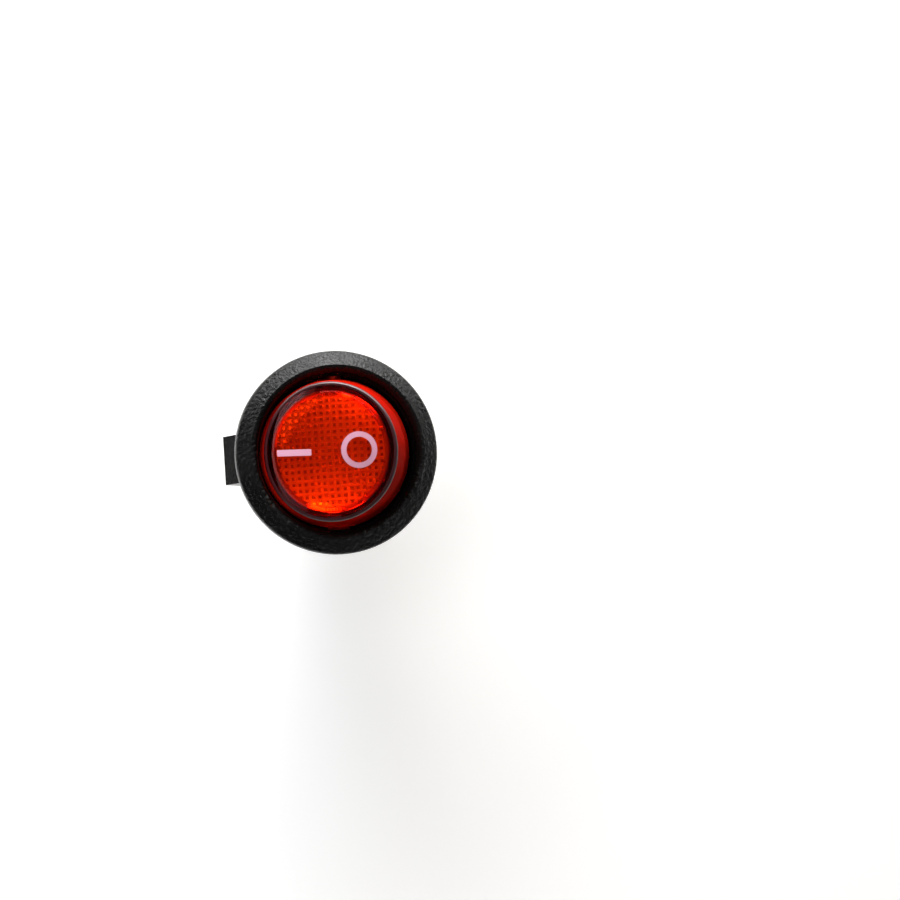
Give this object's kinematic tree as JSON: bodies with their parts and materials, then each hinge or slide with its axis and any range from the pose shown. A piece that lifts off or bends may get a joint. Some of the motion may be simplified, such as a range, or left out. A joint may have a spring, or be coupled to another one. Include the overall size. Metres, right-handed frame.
{
  "type": "round rocker switch, single circuit with two terminals",
  "caption": "Round snap-in rocker switch with a black bezel, a red rocker under a domed clear lens marked I and O, snap-in tongues and flat blade terminals behind the panel.",
  "frame": {"origin": "centre of the flange's back plane, which seats on the panel", "axes": "+Z out of the switch's face, -X towards the I side, +X towards the O side, and the rocker turns about Y"},
  "size_m": [0.0242, 0.023, 0.031],
  "materials": {
    "black_nylon": "fine moulded grain",
    "red_polycarbonate": "red, satin inside",
    "clear_red_polycarbonate": "polished clear red",
    "diffuser_plate": "moulded prisms",
    "white_acetal": "moulded",
    "spring_steel": "drawn wire",
    "contact_strip": "stamped bronze",
    "contact_silver": "silver faced",
    "tinned_brass": "dull tin plate"
  },
  "bodies": {
    "housing": {"housing": "black_nylon", "common_terminal": "tinned_brass", "load_terminal": "tinned_brass", "fixed_contact_rivet": "contact_silver"},
    "rocker": {"rocker": "red_polycarbonate", "lens": "clear_red_polycarbonate", "diffuser": "diffuser_plate", "plunger_spring": "spring_steel"},
    "plunger": {"plunger": "white_acetal"},
    "moving_contact": {"moving_contact": "contact_strip", "moving_contact_rivet": "contact_silver"}
  },
  "joints": [
    {"name": "rocker_pivot", "type": "hinge", "parent": "housing", "child": "rocker", "pos_m": [0, 0, -0.0006], "axis": [0, 1, 0], "range_deg": [0, 27]},
    {"name": "plunger_slide", "type": "slide", "parent": "rocker", "child": "plunger", "axis": [-0.2334, 0, 0.9724], "range_m": [0, 0.0006], "stiffness_N_per_m": 300, "springref_m": -0.002, "deforming": ["plunger_spring"]},
    {"name": "contact_rock", "type": "hinge", "parent": "housing", "child": "moving_contact", "pos_m": [0, 0, -0.0111], "axis": [0, 1, 0], "range_deg": [-16, 0]}
  ],
  "couplings": [
    {"joint": "contact_rock", "follows": "rocker_pivot", "ratio": -0.5925}
  ]
}
